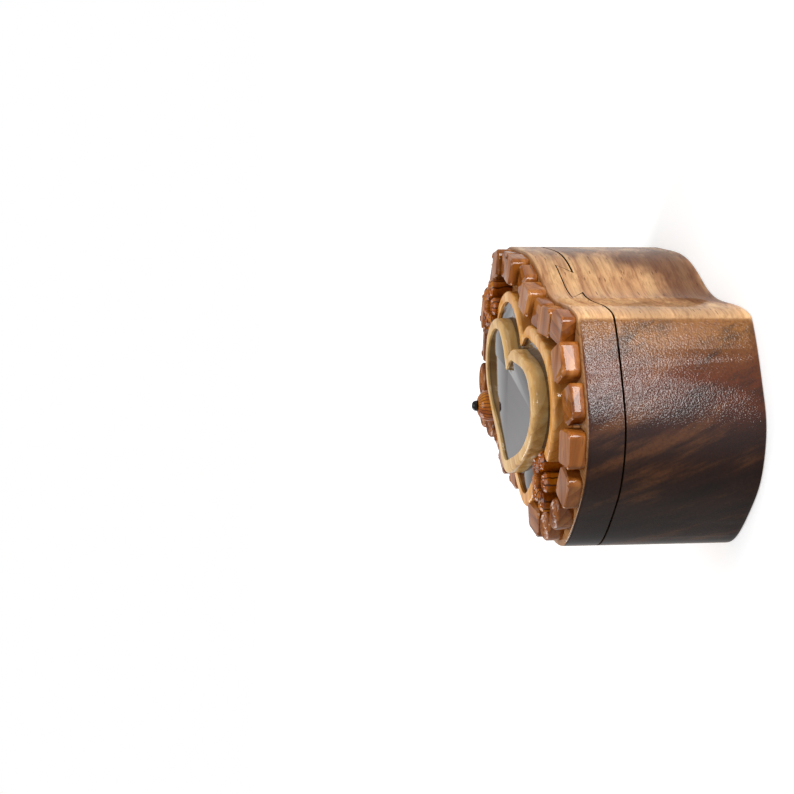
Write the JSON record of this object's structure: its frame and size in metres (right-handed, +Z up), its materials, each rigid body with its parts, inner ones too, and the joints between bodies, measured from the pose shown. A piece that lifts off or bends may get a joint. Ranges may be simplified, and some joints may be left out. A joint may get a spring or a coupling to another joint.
{
  "type": "puzzle box",
  "caption": "Wavy hardwood keepsake box with a dovetailed sliding lid, carved heart and blossom relief, and a hidden drop pin lock.",
  "frame": {"origin": "middle of the flat bottom face, on the surface that the box stands on", "axes": "+X along the box, +Y across it in the direction the lid slides, +Z up through the lid"},
  "size_m": [0.1811, 0.1052, 0.088],
  "materials": {
    "body_wood": "clear gloss lacquer over solid hardwood",
    "lid_wood": "clear gloss lacquer over solid hardwood",
    "pale_wood": "lacquered pale hardwood",
    "dark_wood": "high gloss dark inlay wood",
    "amber_wood": "lacquered amber stained wood, burnt lines",
    "red_brown_wood": "lacquered reddish brown wood",
    "burnt_wood": "burnt dark wood",
    "felt": "short felt pile",
    "nickel": "nickel plated magnets",
    "steel": "ground steel rod"
  },
  "bodies": {
    "body": {"body_block": "body_wood", "felt_liner": "felt", "body_magnets": "nickel"},
    "lid": {"back_heart_inlay": "dark_wood", "back_heart_rim": "pale_wood", "border_block_01": "red_brown_wood", "border_block_02": "red_brown_wood", "border_block_03": "red_brown_wood", "border_block_04": "red_brown_wood", "border_block_05": "red_brown_wood", "border_block_06": "red_brown_wood", "border_block_07": "red_brown_wood", "border_block_11": "red_brown_wood", "border_block_12": "red_brown_wood", "border_block_13": "red_brown_wood", "border_block_16": "red_brown_wood", "border_block_19": "red_brown_wood", "border_block_20": "red_brown_wood", "border_block_21": "red_brown_wood", "border_block_22": "red_brown_wood", "border_block_23": "red_brown_wood", "border_block_24": "red_brown_wood", "border_block_25": "red_brown_wood", "border_leaf_08": "red_brown_wood", "border_leaf_09": "red_brown_wood", "border_leaf_10": "red_brown_wood", "border_leaf_17": "red_brown_wood", "border_leaf_18": "red_brown_wood", "button_tip": "burnt_wood", "far_blossom_centre": "amber_wood", "far_blossom_petal_1": "amber_wood", "far_blossom_petal_2": "amber_wood", "far_blossom_petal_3": "amber_wood", "far_blossom_petal_4": "amber_wood", "far_blossom_petal_5": "amber_wood", "front_heart_inlay": "dark_wood", "front_heart_rim": "pale_wood", "heart_button": "amber_wood", "lid_magnets": "nickel", "lid_slab": "lid_wood", "near_blossom_centre": "amber_wood", "near_blossom_petal_1": "amber_wood", "near_blossom_petal_2": "amber_wood", "near_blossom_petal_3": "amber_wood", "near_blossom_petal_4": "amber_wood", "near_blossom_petal_5": "amber_wood"},
    "key": {"key_block": "red_brown_wood", "key_magnet": "nickel"},
    "pin": {"lock_pin": "steel"}
  },
  "joints": [
    {"name": "lid_slide", "type": "slide", "parent": "body", "child": "lid", "axis": [0, 1, 0], "range_m": [-0.11, 0.11]},
    {"name": "key_lift", "type": "slide", "parent": "lid", "child": "key", "axis": [0, 0, 1], "range_m": [0, 0.03]},
    {"name": "pin_drop", "type": "slide", "parent": "lid", "child": "pin", "axis": [0, 0, -1], "range_m": [0, 0.0045]}
  ]
}
